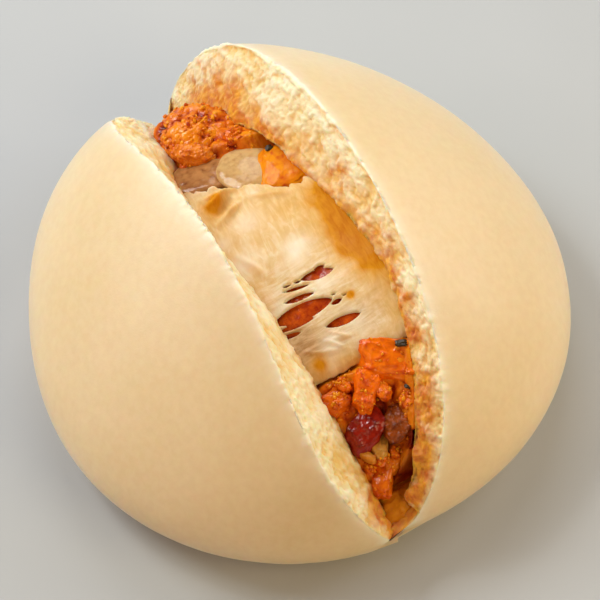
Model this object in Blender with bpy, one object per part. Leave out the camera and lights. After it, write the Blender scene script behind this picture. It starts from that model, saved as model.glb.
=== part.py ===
"""Pizza steamed bun, torn open along its top and still joined along its base.

+X crosses the tear, +Y runs along it, +Z is up.  The origin is the bottom centre of the
bun's bounding box, on the surface it rests on.  Each half is drawn shut, as one half of a
domed bun, and then opened: it leans outwards about its bottom edge and slides away.
"""

from math import pi, radians

import bmesh
import bpy
import numpy as np
from mathutils import Vector
from mathutils.bvhtree import BVHTree

MM = 0.001
GAP = 0.42 * MM              # air between two touching pieces

# The shut bun
HEIGHT = 49.6 * MM
WAIST = 11.9 * MM            # height of the widest outline
FOOT = 0.74                  # base edge, as a share of the widest outline
HINGE = 6.0 * MM             # below this height the tear doesn't widen
HOLD_POWER = 1.2             # how fast the parting fades from the tear out to the skin
LEAN_POWER = 0.8             # how fast the outer skin sinks with height as a half leans

# Each half: reach is its size across the tear and length its half size along it
HALVES = {
    "left": dict(side=-1, reach=47.2 * MM, length=49.1 * MM, dome=1.47, lean=21.8, pitch=6.2,
                 lap=2.5 * MM, slide=-2.1 * MM, turn=-0.44, swell=-2.6 * MM, hold=0.78,
                 part_near=6.4 * MM, part_mid=-1.2 * MM, part_far=17.8 * MM),
    "right": dict(side=1, reach=54.2 * MM, length=52.1 * MM, dome=1.34, lean=19.9, pitch=4.5,
                  lap=2.5 * MM, slide=2.2 * MM, turn=-0.11, swell=-1.1 * MM, hold=0.58,
                  part_near=7.2 * MM, part_mid=1.6 * MM, part_far=0.0 * MM),
}
PIVOT = -48.0 * MM           # each half turns a little in plan about this point of the tear

SEAM = 0.3 * MM              # the halves' bottom edges stop this far from the tear's plane
NOTCH = 2.0 * MM             # the tear's bottom, below the pocket's floor

# The pocket that holds the filling: its mouth's height, from the near end to the far end
MOUTH_AT = (-1.0, -0.84, -0.62, -0.30, 0.08, 0.42, 0.72, 1.0)
MOUTH = {
    "left": (13.0, 18.5, 25.0, 30.5, 31.5, 30.0, 21.0, 12.0),
    "right": (20.0, 29.5, 36.0, 41.0, 37.5, 33.0, 22.0, 10.0),
}
# How far the torn crumb swells past the tear's plane, in mm, at the same stations
BULGE = {
    "left": (1.5, 2.6, 3.0, 1.6, -1.4, -0.8, 2.2, 1.5),
    "right": (0.3, 0.3, 0.3, 0.3, 0.3, 0.3, 0.3, 0.3),
}
BULGE_FULL = 20 * MM         # a torn face at least this tall has its full bulge
POCKET_FLOOR = 9.0 * MM
POCKET_DEPTH = 30.0 * MM     # how far it reaches under the dome
POCKET_ENDS = (0.93, 0.97)   # where it closes, near and far, as shares of the half's length
POCKET_WAIST = 0.45          # level of its deepest point, between its floor and its mouth
POCKET_MARGIN = 0.04         # crumb left above and below it, as a share of the half's height
MOUTH_POWER, DEPTH_POWER = 6, 2  # how square its ends are, in height and in depth

# Filling
SAUCE_ENDS = (-43.0 * MM, 41.0 * MM)
SAUCE_LUMP = 0.7 * MM
SPILL = (4.5 * MM, 2.2 * MM, 0.5 * MM)   # how far the far end runs over its lip, up, across
SPILL_POWERS = (10, 40, 12)  # how late each part of the spill sets in: across, along, up
SPILL_NARROW = 0.55          # share of its width that the spill loses
TIP_DROP = 2.0 * MM
END_CLEAR = 2.6 * MM         # extra air to the pocket at the filling's two ends
END_CLEAR_POWER = 8
SAUCE_CLOSE = 0.16           # share of the filling's half length over which an end rounds off
SAUCE_FILL = 0.95            # share of the pocket's depth that it fills
FAR_NARROW, FAR_NARROW_POWER = 0.7, 6
ROOF_SHARE, FLOOR_SHARE = 0.3, 1.3       # air at the roof's middle and at the floor, in clears
LUMP_WAVES = (0.9, 0.8)      # the lumps' waves across and along, in radians per mm
LUMP_DRIFT = 9
HILL_WIDTH = 0.9             # of the heap and the sag, in half widths of the tear
INSET_LEAN = 0.6             # the filling's lip moves this far in for each step down
HEAP_AT = (37.0 * MM, 0.15, 5.5 * MM, 10.0 * MM)       # along, across, height, spread
SAG_NEAR = (-39.0 * MM, 0.10, -5.0 * MM, 8.0 * MM)
CHEESE_NEAR = (-25.0 * MM, -26.5 * MM)  # the cheese's near edge, at the left and the right
CHEESE_FAR = (17.3 * MM, 13.5 * MM)
CHEESE_THICK = 2.7 * MM
CHEESE_DROP = CHEESE_THICK + 1.6 * GAP
CHEESE_EASE = 3.5 * MM       # length of the slope where the filling rises past the cheese
CHEESE_COVER = 2             # the slope begins this many slope lengths past the cheese's edge
CHEESE_CLOSE = 0.10          # share of its half length over which an edge thins out
CHEESE_SIDE = 0.55           # thickness at the two sides, as a share of the middle's
CHEESE_SINK = 0.4            # how far a thinned edge sinks, in thicknesses
FOLD = 0.35 * MM
FOLD_WAVES = (0.55, 0.35)    # the folds' waves across and along, in radians per mm
ROUGH = 0.35 * MM            # unevenness of the torn crumb
ROUGH_WAVES = (23, 9)        # its waves along the tear and down the torn face

# Cut pieces
SQUARENESS = 4               # 2 gives a round outline, more a squarer one
WOBBLE = (0.10, 0.06)        # unevenness round the piece and up it
SIDE_POWER, TOP_POWER = 0.7, 0.8     # below 1: steeper sides and a flatter top
LIFT = 0.3                   # height of the piece's middle above its seat, in piece heights
SQUASH = 0.12                # what is left of the height where the seat pushes the piece up
CHUNK_AROUND, CHUNK_ROWS = 12, 7
ABOVE_ALL = 0.1              # rays that look for the seat start here

# Steps of the sections and numbers of sections
CORNER_STEPS, SKIN_STEPS, TORN_STEPS, POCKET_STEPS = 5, 13, 5, 6
TOP_POINTS, CHEESE_POINTS = 12, 13
STATIONS, SAUCE_RINGS, CHEESE_RINGS = 31, 29, 19
WELD = 0.02 * MM             # points closer than this become one
CREASE = 50                  # edges sharper than this many degrees stay sharp


def empty_scene():
    for thing in list(bpy.data.objects):
        bpy.data.objects.remove(thing, do_unlink=True)


def material(name, colour, roughness):
    made = bpy.data.materials.new(name)
    made.use_nodes = True
    shader = made.node_tree.nodes["Principled BSDF"]
    shader.inputs["Base Color"].default_value = (*colour, 1.0)
    shader.inputs["Roughness"].default_value = roughness
    shader.inputs["Metallic"].default_value = 0.0
    return made


def opened(half, across, along, up):
    """Shut position to opened position, as three arrays.

    The half slides away from the tear in proportion to height, leans outwards about its
    bottom edge while its base stays on the table, pitches a little along the tear, and
    turns slightly in plan.
    """
    part = HALVES[half]
    v = along / part["length"]
    near, mid, far = part["part_near"], part["part_mid"], part["part_far"]
    parted = mid + (far - near) / 2 * v + ((far + near) / 2 - mid) * v**2
    rise = np.clip((up - HINGE) / (HEIGHT - HINGE), 0, 1)
    out = np.clip(across / part["reach"], 0, 1)
    across = across + parted * rise * (1 - part["hold"] * out**HOLD_POWER)
    across = across + part["swell"] * out * (1 - v**2) * v
    lean = radians(part["lean"])
    share = np.clip(up / HEIGHT, 0, 1)
    x = across * np.cos(lean) + up * np.sin(lean)
    z = up * np.cos(lean) - across * np.sin(lean) * share**LEAN_POWER
    z = z + along * np.sin(radians(part["pitch"])) * share
    x = (x - part["lap"]) * part["side"]
    y = along + part["slide"] - PIVOT
    turn = radians(part["turn"]) * part["side"]
    return np.stack([x * np.cos(turn) + y * np.sin(turn),
                     y * np.cos(turn) - x * np.sin(turn) + PIVOT, z], -1)


def foot_height(v):
    """Height of the base at station v: flat, then turned up past the foot's edge."""
    past = np.clip((abs(v) - FOOT) / (1 - FOOT), 0, 1)
    return WAIST * (1 - np.sqrt(1 - past**2))


def rim_height(v):
    """Height of the tear's rim at station v."""
    return WAIST + (HEIGHT - WAIST) * np.sqrt(max(0.0, 1 - v * v))


def bulge_at(half, v):
    """How far the torn face swells past the tear's plane at station v."""
    grown = min(1.0, (rim_height(v) - foot_height(v)) / BULGE_FULL)
    return np.interp(v, MOUTH_AT, BULGE[half]) * MM * grown


def pocket(half, v):
    """Floor, middle and mouth heights of the pocket at station v, and its depth."""
    low, high = foot_height(v), rim_height(v)
    margin = (high - low) * POCKET_MARGIN
    mouth = np.interp(v, MOUTH_AT, MOUTH[half]) * MM
    end = POCKET_ENDS[int(v > 0)]
    shut = max(0.0, 1 - (v / end) ** MOUTH_POWER) ** 0.5
    middle = POCKET_FLOOR + POCKET_WAIST * (mouth - POCKET_FLOOR)
    middle = np.clip(middle, low + 3 * margin, high - 3 * margin)
    top = middle + (mouth - middle) * shut
    floor = middle - (middle - POCKET_FLOOR) * shut
    depth = POCKET_DEPTH * max(0.0, 1 - (v / end) ** DEPTH_POWER) ** 0.5
    return max(floor, low + margin), middle, min(top, high - margin), depth


def half_section(half, v):
    """Closed section of one shut half at station v, as arrays across and up."""
    part = HALVES[half]
    start = np.arcsin(np.clip((abs(v) - FOOT) / (1 - FOOT), 0, 1))
    corner = np.linspace(start, pi / 2, CORNER_STEPS)
    ring = FOOT + (1 - FOOT) * np.sin(corner)
    under = np.sqrt(np.maximum(0, ring**2 - v * v)) * part["reach"]
    base = np.array([1, 2]) / 3 * under[0]
    dome = np.linspace(0, pi / 2, SKIN_STEPS)[1:]
    wide = np.sqrt(max(0.0, 1 - v * v))
    over = part["reach"] * wide * np.cos(dome) ** part["dome"]
    floor, middle, mouth, depth = pocket(half, v)
    rim = rim_height(v)
    bulge = bulge_at(half, v)
    # torn face, from the rim down to the pocket's mouth
    down = np.linspace(0, 1, TORN_STEPS)[1:]
    ripple = np.sin(v * ROUGH_WAVES[0] + down * ROUGH_WAVES[1])
    rough = ROUGH * wide * np.sin(down * pi) * ripple
    face = -bulge * np.sin(down * pi / 2) + rough
    # pocket: roof out to its deepest point, then floor back to the tear
    turn = np.linspace(0, pi / 2, POCKET_STEPS)[1:]
    roof = -bulge + (depth + bulge) * np.sin(turn)
    across = np.concatenate([base, under, over, face, roof, depth * np.cos(turn)])
    up = np.concatenate([
        np.full(len(base), foot_height(v)),
        WAIST * (1 - np.cos(corner)),
        WAIST + (HEIGHT - WAIST) * wide * np.sin(dome),
        rim + (mouth - rim) * down,
        middle + (mouth - middle) * np.cos(turn),
        middle - (middle - floor) * np.sin(turn),
    ])
    return across, up


def half_ring(half, v):
    """One half's section at station v, opened, and kept to its own side of the seam."""
    part = HALVES[half]
    across, up = half_section(half, v)
    points = opened(half, across, np.full(len(up), v * part["length"]), up)
    points[:, 0] = part["side"] * np.maximum(points[:, 0] * part["side"], SEAM)
    return points


def dough_ring(t):
    """Both halves' sections joined below by the base and above it by the notch."""
    v = np.sin(t * pi / 2)
    left, right = half_ring("left", v), half_ring("right", v)
    base = (left[0] + right[0]) / 2
    notch = (left[-1] + right[-1]) / 2
    notch[2] -= NOTCH * max(0.0, 1 - v * v) ** 0.5
    return np.concatenate([[base], right, [notch], left[::-1]])


def loft(rings, name):
    """Closed mesh through closed rings of points; each end ring shrinks to one point."""
    rings = np.array(rings)
    count, size = rings.shape[:2]
    work = bmesh.new()
    grid = [[work.verts.new(p) for p in ring] for ring in rings]
    for i in range(count - 1):
        for j in range(size):
            k = (j + 1) % size
            work.faces.new((grid[i][j], grid[i][k], grid[i + 1][k], grid[i + 1][j]))
    bmesh.ops.remove_doubles(work, verts=work.verts, dist=WELD)
    bmesh.ops.dissolve_degenerate(work, dist=WELD / 2, edges=work.edges)
    bmesh.ops.triangulate(work, faces=work.faces)
    bmesh.ops.recalc_face_normals(work, faces=work.faces)
    if work.calc_volume(signed=True) < 0:
        bmesh.ops.reverse_faces(work, faces=work.faces)
    mesh = bpy.data.meshes.new(name)
    work.to_mesh(mesh)
    work.free()
    return add(mesh, name)


def add(mesh, name):
    made = bpy.data.objects.new(name, mesh)
    bpy.context.scene.collection.objects.link(made)
    return made


def finish(piece, coat):
    piece.data.materials.clear()
    piece.data.materials.append(coat)
    piece.data.shade_smooth()
    piece.data.set_sharp_from_angle(angle=radians(CREASE))
    return piece


def bump(at, u, y):
    """Soft hill of the filling's top, from its place along and across, height and spread."""
    along, across, height, spread = at
    return height * np.exp(-(((y - along) / spread) ** 2) - ((u - across) / HILL_WIDTH) ** 2)


def station(half, y):
    """Station of a half that lies at y once the half is opened."""
    return (y - HALVES[half]["slide"]) / HALVES[half]["length"]


def filling_point(y, u, inset):
    """Point of the filling's visible top at y, from u = -1 at left to 1 at right."""
    ends = []
    for half in ("left", "right"):
        part = HALVES[half]
        v = station(half, y)
        across = np.array(-bulge_at(half, v) - INSET_LEAN * inset)
        up = np.array(pocket(half, v)[2] - inset)
        ends.append(opened(half, across, np.array(v * part["length"]), up))
    point = ends[0] + (ends[1] - ends[0]) * (u + 1) / 2
    point[2] += (1 - u * u) * (bump(HEAP_AT, u, y) + bump(SAG_NEAR, u, y))
    return point


def cheese_span(u):
    """Where the cheese's near and far edges lie at u."""
    share = (u + 1) / 2
    return [side[0] + (side[1] - side[0]) * share for side in (CHEESE_NEAR, CHEESE_FAR)]


def under_cheese(y, u):
    """1 where the cheese lies, easing to 0 just past its two ends."""
    low, high = cheese_span(u)
    inside = min(y - low, high - y) / CHEESE_EASE + CHEESE_COVER
    return float(np.clip(inside, 0, 1))


def sauce_ring(t):
    """Section of the filling: its top, then under each half's roof and over its floor."""
    near, far = SAUCE_ENDS
    clear = GAP + END_CLEAR * abs(t) ** END_CLEAR_POWER
    y = (near + far) / 2 + (far - near) / 2 * np.sin(t * pi / 2)
    top = []
    for u in np.linspace(-1, 1, TOP_POINTS):
        point = filling_point(y, u, clear)
        covered = under_cheese(y, u)
        wave_across = np.sin(point[0] / MM * LUMP_WAVES[0] + 2 * np.sin(t * LUMP_DRIFT))
        wave_along = np.sin(y / MM * LUMP_WAVES[1] + u * 2)
        lump = wave_across * wave_along
        point[2] += (1 - u * u) * SAUCE_LUMP * lump * (1 - covered)
        point[2] -= covered * CHEESE_DROP
        top.append(point)
    sides = {}
    for half, u in (("left", -1), ("right", 1)):
        part = HALVES[half]
        v = station(half, y)
        floor, middle, mouth, depth = pocket(half, v)
        narrow = 1 - FAR_NARROW * max(0.0, t) ** FAR_NARROW_POWER
        reach = max(0.0, depth * SAUCE_FILL - 2 * clear) * narrow
        turn = np.linspace(0, pi / 2, POCKET_STEPS)
        start = -bulge_at(half, v)
        roof_top = mouth - clear - under_cheese(y, u) * CHEESE_DROP
        roof_x = start + (reach - start) * np.sin(turn)
        roof_z = middle + (max(0.0, roof_top - middle) - ROOF_SHARE * clear) * np.cos(turn)
        floor_x = reach * np.cos(turn) + GAP
        floor_z = middle - max(0.0, middle - floor - FLOOR_SHARE * clear) * np.sin(turn)
        along = np.full(POCKET_STEPS, v * part["length"])
        sides[half] = (opened(half, roof_x, along, roof_z)[1:],
                       opened(half, floor_x, along, floor_z)[1:])
    ring = np.concatenate([top, sides["right"][0], sides["right"][1],
                           sides["left"][1][::-1], sides["left"][0][::-1]])
    centre = ring[:TOP_POINTS].mean(axis=0) - [0, 0, TIP_DROP]
    close = min(1.0, (1 - abs(t)) / SAUCE_CLOSE) ** 0.5
    late = [max(0.0, t) ** power for power in SPILL_POWERS]
    shrink = np.array([close * (1 - SPILL_NARROW * late[0]), close, close])
    push = np.array([SPILL[2] * late[0], SPILL[0] * late[1], SPILL[1] * late[2]])
    return centre + (ring - centre) * shrink + push


def cheese_ring(t):
    """Section of the melted sheet: its top row, then its underside back again."""
    top, under = [], []
    close = min(1.0, (1 - abs(t)) / CHEESE_CLOSE) ** 0.5
    for u in np.linspace(-1, 1, CHEESE_POINTS):
        low, high = cheese_span(u)
        y = (low + high) / 2 + (high - low) / 2 * np.sin(t * pi / 2)
        point = filling_point(y, u, 1.5 * GAP)
        thick = CHEESE_THICK * (CHEESE_SIDE + (1 - CHEESE_SIDE) * (1 - u**6)) * close
        middle = point[2] - thick / 2 - (1 - close) * CHEESE_THICK * CHEESE_SINK
        fold = FOLD * np.sin((point[0] * FOLD_WAVES[0] + point[1] * FOLD_WAVES[1]) / MM)
        top.append([point[0], point[1], middle + thick / 2 + (1 - u * u) * close * fold])
        under.append([point[0], point[1], middle - thick / 2])
    return np.array(top + under[::-1])


def chunk(name, centre, size, turn, seat, seed):
    """Cut piece lying on the filling: a rounded box whose lower side follows its seat."""
    a = np.linspace(0, 2 * pi, CHUNK_AROUND, endpoint=False) + 0.2 * seed
    b = np.linspace(-pi / 2, pi / 2, CHUNK_ROWS)
    aa, bb = np.meshgrid(a, b)
    corners = np.abs(np.cos(aa)) ** SQUARENESS + np.abs(np.sin(aa)) ** SQUARENESS
    wobble = 1 + WOBBLE[0] * np.sin(aa * 3 + seed) * np.cos(bb)
    wobble = wobble + WOBBLE[1] * np.sin(bb * 5 + 2 * seed)
    outline = corners ** (-1 / SQUARENESS) * np.cos(bb) ** SIDE_POWER * wobble
    x = np.cos(aa) * outline * size[0] / 2
    y = np.sin(aa) * outline * size[1] / 2
    z = np.sign(np.sin(bb)) * np.abs(np.sin(bb)) ** TOP_POWER * size[2] / 2
    c, s = np.cos(radians(turn)), np.sin(radians(turn))
    points = np.stack([x * c - y * s + centre[0], x * s + y * c + centre[1], z], -1)
    down = Vector((0, 0, -1))
    below = seat.ray_cast(Vector((centre[0], centre[1], ABOVE_ALL)), down)[0]
    points[..., 2] += below.z + LIFT * size[2]
    for p in points.reshape(-1, 3):
        hit = seat.ray_cast(Vector((p[0], p[1], ABOVE_ALL)), down)[0]
        if hit is not None:
            p[2] = max(p[2], hit.z + 2 * GAP + SQUASH * (p[2] - below.z))
    return loft(points, name)


def surface_of(pieces):
    """Search tree of several pieces' surfaces, for rays to hit."""
    work = bmesh.new()
    for piece in pieces:
        work.from_mesh(piece.data)
    tree = BVHTree.FromBMesh(work)
    work.free()
    return tree


def recentre(pieces):
    """Move every piece so that the origin is the bottom centre of their common box."""
    points = np.array([v.co[:] for piece in pieces for v in piece.data.vertices])
    low, high = points.min(axis=0), points.max(axis=0)
    shift = Vector(((low[0] + high[0]) / 2, (low[1] + high[1]) / 2, low[2]))
    for piece in pieces:
        for v in piece.data.vertices:
            v.co -= shift
    print("origin moved by mm", [round(s / MM, 3) for s in shift])
    print("size mm", [round(s / MM, 2) for s in high - low])


CHUNKS = (
    # name, place and size in mm, turn in degrees, seed, coat
    ("tomato_1", (6.2, -31.1), (10.2, 6.2, 5.0), 16, 1, "tomato"),
    ("tomato_2", (-0.1, -34.4), (5.4, 4.4, 4.4), 40, 2, "tomato"),
    ("tomato_3", (-1.3, -29.4), (4.8, 3.8, 3.4), 20, 3, "red_tomato"),
    ("onion_1", (0.6, -38.5), (4.4, 2.6, 2.6), 8, 4, "onion"),
    ("carrot_1", (3.2, -41.3), (4.4, 2.2, 2.2), 15, 5, "carrot"),
    ("meat_lump_2", (6.6, -37.4), (5.6, 4.4, 3.6), 70, 9, "meat"),
    ("onion_2", (-1.4, 22.6), (9.4, 5.4, 2.6), -12, 6, "onion"),
    ("pepper_1", (6.4, 17.9), (5.8, 4.0, 2.2), -12, 7, "carrot"),
    ("meat_lump_1", (-2.6, 29.8), (6.2, 5.4, 4.6), 10, 8, "meat"),
)

empty_scene()
COATS = {
    "bun": material("bun", (0.86, 0.62, 0.36), 0.5),
    "meat": material("meat", (0.55, 0.13, 0.03), 0.35),
    "cheese": material("cheese", (0.86, 0.62, 0.34), 0.28),
    "tomato": material("tomato", (0.80, 0.20, 0.02), 0.25),
    "red_tomato": material("red_tomato", (0.45, 0.03, 0.01), 0.25),
    "onion": material("onion", (0.72, 0.42, 0.18), 0.3),
    "carrot": material("carrot", (0.72, 0.22, 0.02), 0.35),
}
dough = loft([dough_ring(t) for t in np.linspace(-1, 1, STATIONS)], "dough")
meat_sauce = loft([sauce_ring(t) for t in np.linspace(-1, 1, SAUCE_RINGS)], "meat_sauce")
cheese = loft([cheese_ring(t) for t in np.linspace(-1, 1, CHEESE_RINGS)], "cheese")
seat = surface_of([meat_sauce, cheese])
pieces = [finish(dough, COATS["bun"]), finish(meat_sauce, COATS["meat"]),
          finish(cheese, COATS["cheese"])]
for name, centre, size, turn, seed, coat in CHUNKS:
    piece = chunk(name, np.array(centre) * MM, np.array(size) * MM, turn, seat, seed)
    pieces.append(finish(piece, COATS[coat]))
recentre(pieces)
for piece in pieces:
    piece.data.update()
    print(piece.name, len(piece.data.polygons))
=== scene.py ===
# %% [markdown]
# # Pizza steamed bun, torn open
# A steamed bun is a soft, smooth-skinned dome of white dough.  This one holds a pizza
# filling, minced meat in tomato under melted cheese, and somebody has pulled it open along
# its top.  The two halves lean apart and stay joined along the base.  Everything here is
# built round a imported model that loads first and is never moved: it says where each part is.

import bmesh
import bpy
import numpy as np
from math import cos, pi, radians, sin
from mathutils import Matrix, Vector


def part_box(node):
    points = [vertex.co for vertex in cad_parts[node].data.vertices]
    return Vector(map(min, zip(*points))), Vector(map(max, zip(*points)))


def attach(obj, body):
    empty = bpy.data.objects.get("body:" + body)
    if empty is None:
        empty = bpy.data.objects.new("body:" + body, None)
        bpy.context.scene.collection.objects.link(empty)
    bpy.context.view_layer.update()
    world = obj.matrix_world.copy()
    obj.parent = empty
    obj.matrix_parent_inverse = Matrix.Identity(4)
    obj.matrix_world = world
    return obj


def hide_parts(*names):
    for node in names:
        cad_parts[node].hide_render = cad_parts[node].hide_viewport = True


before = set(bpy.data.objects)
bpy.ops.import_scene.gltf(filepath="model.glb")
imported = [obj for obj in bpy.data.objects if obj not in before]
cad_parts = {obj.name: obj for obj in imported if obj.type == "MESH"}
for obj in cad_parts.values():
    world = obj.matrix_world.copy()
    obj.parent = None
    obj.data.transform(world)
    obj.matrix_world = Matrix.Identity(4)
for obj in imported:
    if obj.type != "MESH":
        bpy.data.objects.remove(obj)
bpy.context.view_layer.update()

MM = 0.001
print("nodes", sorted(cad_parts))

# %% [markdown]
# ## Noise worked out with numpy
# Bread crumb, mince and cheese are all irregular, at several sizes at once.  A modifier with
# a texture could push a mesh about, but then the colours couldn't follow the same bumps.
# So the noise is worked out here, for a whole array of points in one go, and the same
# numbers shape the mesh and paint it.

# %% Noise


def hashed(cell, seed):
    """A number from 0 to 1 for each whole-number cell: its three parts are multiplied by
    large primes and mixed bit by bit, so neighbours get unrelated numbers."""
    c = cell.astype(np.int64)
    n = c[..., 0] * 73856093 ^ c[..., 1] * 19349663 ^ c[..., 2] * 83492791
    n = (n + seed * 7919) & 0x7FFFFFFF
    n = ((n ^ (n >> 15)) * 0x2C1B3C6D) & 0x7FFFFFFF
    n = ((n ^ (n >> 12)) * 0x297A2D39) & 0x7FFFFFFF
    return ((n ^ (n >> 15)) & 0xFFFFF) / 0xFFFFF


def soft_noise(points, size, seed=0):
    """Smooth hills from -1 to 1, about size across: random numbers on a lattice of that
    spacing, blended between its eight corners with a smooth step."""
    p = points / size + seed * 17.31
    cell = np.floor(p)
    f = p - cell
    f = f * f * f * (f * (f * 6 - 15) + 10)
    total = 0.0
    for corner in np.ndindex(2, 2, 2):
        share = np.prod(np.where(corner, f, 1 - f), axis=-1)
        total = total + share * hashed(cell + corner, seed)
    return total * 2 - 1


def rough_noise(points, size, seed=0, layers=3):
    """Soft noise with finer and fainter layers added, each half the size and strength."""
    total = sum(soft_noise(points, size / 2**k, seed + k) / 2**k for k in range(layers))
    return total / 1.6


def grains(points, size, seed=0):
    """Distance to the nearest of many scattered seeds: 0 at a seed, about 1 midway between
    two."""
    p = points / size
    cell = np.floor(p)
    nearest = np.full(p.shape[:-1], 9.0)
    for step in np.ndindex(3, 3, 3):
        there = cell + np.array(step) - 1
        spot = np.stack([hashed(there, seed + k) for k in (1, 2, 3)], -1) + there
        nearest = np.minimum(nearest, np.sum((spot - p) ** 2, axis=-1))
    return np.sqrt(nearest)


DOME_REACH, DOME_MEAN = 0.85, 0.7


def bumpy(points, layers):
    """Rounded bumps of several sizes, added up.  Over each seed stands a half circle of the
    distance, less its mean.  A layer is its spacing and height in mm and its seed."""
    total = 0
    for size, height, seed in layers:
        distance = grains(points, size * MM, seed)
        dome = np.sqrt(np.clip(1 - (distance / DOME_REACH) ** 2, 0, 1))
        total = total + height * (dome - DOME_MEAN)
    return total


def swirl(points, size, seeds, amount):
    """A slow push of up to amount mm in a direction that wanders, one noise per axis."""
    return np.stack([soft_noise(points, size * MM, seed=k) for k in seeds], -1) * amount * MM


# %% [markdown]
# ## From arrays to meshes
# Every surface below is a grid of points.  A grid becomes a mesh by joining each point to
# its neighbours with four-sided faces.  Where a grid closes on itself or shrinks to a pole,
# several points land on one spot, so they are merged, and the normals are turned outwards.

# %% Mesh helpers
ORIGIN = np.array([3.47, 1.562, 0.0]) * MM   # the base's middle, from the tear's own zero
MERGE, REPAIR_ROUNDS = 0.004 * MM, 4


def grid_faces(rows, columns, around=False):
    """Four corner numbers for every cell of a grid; around joins the last column to the
    first."""
    i, j = np.meshgrid(np.arange(rows - 1), np.arange(columns - (not around)), indexing="ij")
    k = (j + 1) % columns
    corners = [i * columns + j, i * columns + k, (i + 1) * columns + k, (i + 1) * columns + j]
    return np.stack(corners, -1).reshape(-1, 4)


def place_in_scene(name, data):
    """A new object for a mesh, lamp or camera, linked to the scene."""
    made = bpy.data.objects.new(name, data)
    bpy.context.scene.collection.objects.link(made)
    return made


def build(name, points, faces, marks=None, merge=MERGE):
    """A smooth-shaded, closed mesh object from points and faces; marks are named numbers
    per point, kept as attributes for the materials to read.  Where merged points crowd more
    than two faces on to one edge, those faces go and the gap is filled again."""
    mesh = bpy.data.meshes.new(name)
    mesh.from_pydata(points.reshape(-1, 3).tolist(), [], faces.tolist())
    for key, value in (marks or {}).items():
        layer = mesh.attributes.new(key, "FLOAT", "POINT")
        layer.data.foreach_set("value", np.ascontiguousarray(value, np.float32).ravel())
    work = bmesh.new()
    work.from_mesh(mesh)
    if merge:
        bmesh.ops.remove_doubles(work, verts=work.verts, dist=merge)
        bmesh.ops.dissolve_degenerate(work, dist=merge / 2, edges=work.edges)
    loose = [v for v in work.verts if not v.link_faces]
    bmesh.ops.delete(work, geom=loose, context="VERTS")
    for again in range(REPAIR_ROUNDS):
        crowded = {f for e in work.edges if len(e.link_faces) > 2 for f in e.link_faces}
        bmesh.ops.delete(work, geom=list(crowded), context="FACES")
        bmesh.ops.holes_fill(work, edges=[e for e in work.edges if e.is_boundary], sides=0)
    bmesh.ops.recalc_face_normals(work, faces=work.faces)
    if work.calc_volume(signed=True) < 0:
        bmesh.ops.reverse_faces(work, faces=work.faces)
    open_edges = sum(not e.is_manifold for e in work.edges)
    work.to_mesh(mesh)
    work.free()
    mesh.shade_smooth()
    piece = place_in_scene(name, mesh)
    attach(piece, "root")
    triangles = sum(len(p.vertices) - 2 for p in mesh.polygons)
    print(name, triangles, "triangles,", open_edges, "open edges")
    return piece


def facing(points, around=False):
    """Unit normal of each grid point, from the cross product of its two grid directions."""
    along = np.gradient(points, axis=0)
    if around:
        across = (np.roll(points, -1, axis=1) - np.roll(points, 1, axis=1)) / 2
    else:
        across = np.gradient(points, axis=1)
    normal = np.cross(across, along)
    return normal / (np.linalg.norm(normal, axis=-1, keepdims=True) + 1e-12)


# %% [markdown]
# ## The halves, shut and opened
# It is far easier to draw half a round bun than half a torn one.  So each half is drawn
# shut, with a flat torn face, and one formula then opens it: it slides away from the tear,
# leans outwards about its bottom edge and turns a little.  The filling uses the same
# formula, so it always fits its pocket.

# %% Sizes and the opening formula
HEIGHT, WAIST, FOOT, HINGE = 49.6 * MM, 11.9 * MM, 0.74, 6.0 * MM
PIVOT = -48.0 * MM
SEAM, NOTCH = 0.3 * MM, 2.0 * MM
HALVES = {
    "left": dict(side=-1, reach=47.2 * MM, length=49.1 * MM, dome=1.47, lean=21.8, pitch=6.2,
                 lap=2.5 * MM, slide=-2.1 * MM, turn=-0.44, swell=-2.6 * MM, hold=0.78,
                 part_near=6.4 * MM, part_mid=-1.2 * MM, part_far=17.8 * MM),
    "right": dict(side=1, reach=54.2 * MM, length=52.1 * MM, dome=1.34, lean=19.9, pitch=4.5,
                  lap=2.5 * MM, slide=2.2 * MM, turn=-0.11, swell=-1.1 * MM, hold=0.58,
                  part_near=7.2 * MM, part_mid=1.6 * MM, part_far=0.0 * MM),
}
MOUTH_AT = (-1.0, -0.84, -0.62, -0.30, 0.08, 0.42, 0.72, 1.0)
MOUTH = {
    "left": (13, 18.5, 25, 30.5, 31.5, 30, 21, 12),
    "right": (20, 29.5, 36, 41, 37.5, 33, 22, 10),
}
BULGE = {
    "left": (1.5, 2.6, 3, 1.6, -1.4, -0.8, 2.2, 1.5),
    "right": (1.2, 2.8, 1.2, 0.3, 0.4, 2.4, 2.2, 0.3),
}
POCKET_FLOOR, POCKET_DEPTH, POCKET_ENDS = 9.0 * MM, 30.0 * MM, (0.93, 0.97)


def opened(half, across, along, up):
    """Shut place to opened place: slide away with height, lean about the bottom edge, pitch
    a little along the tear and turn in plan."""
    part = HALVES[half]
    v = along / part["length"]
    near, mid, far = part["part_near"], part["part_mid"], part["part_far"]
    parted = mid + (far - near) / 2 * v + ((far + near) / 2 - mid) * v**2
    rise = np.clip((up - HINGE) / (HEIGHT - HINGE), 0, 1)
    out = np.clip(across / part["reach"], 0, 1)
    across = across + parted * rise * (1 - part["hold"] * out**1.2)
    across = across + part["swell"] * out * (1 - v**2) * v
    lean = radians(part["lean"])
    share = np.clip(up / HEIGHT, 0, 1)
    x = across * cos(lean) + up * sin(lean)
    z = up * cos(lean) - across * sin(lean) * share**0.8
    z = z + along * sin(radians(part["pitch"])) * share
    x = (x - part["lap"]) * part["side"]
    y = along + part["slide"] - PIVOT
    turn = radians(part["turn"]) * part["side"]
    return np.stack([x * cos(turn) + y * sin(turn), y * cos(turn) - x * sin(turn) + PIVOT, z], -1)


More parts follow.
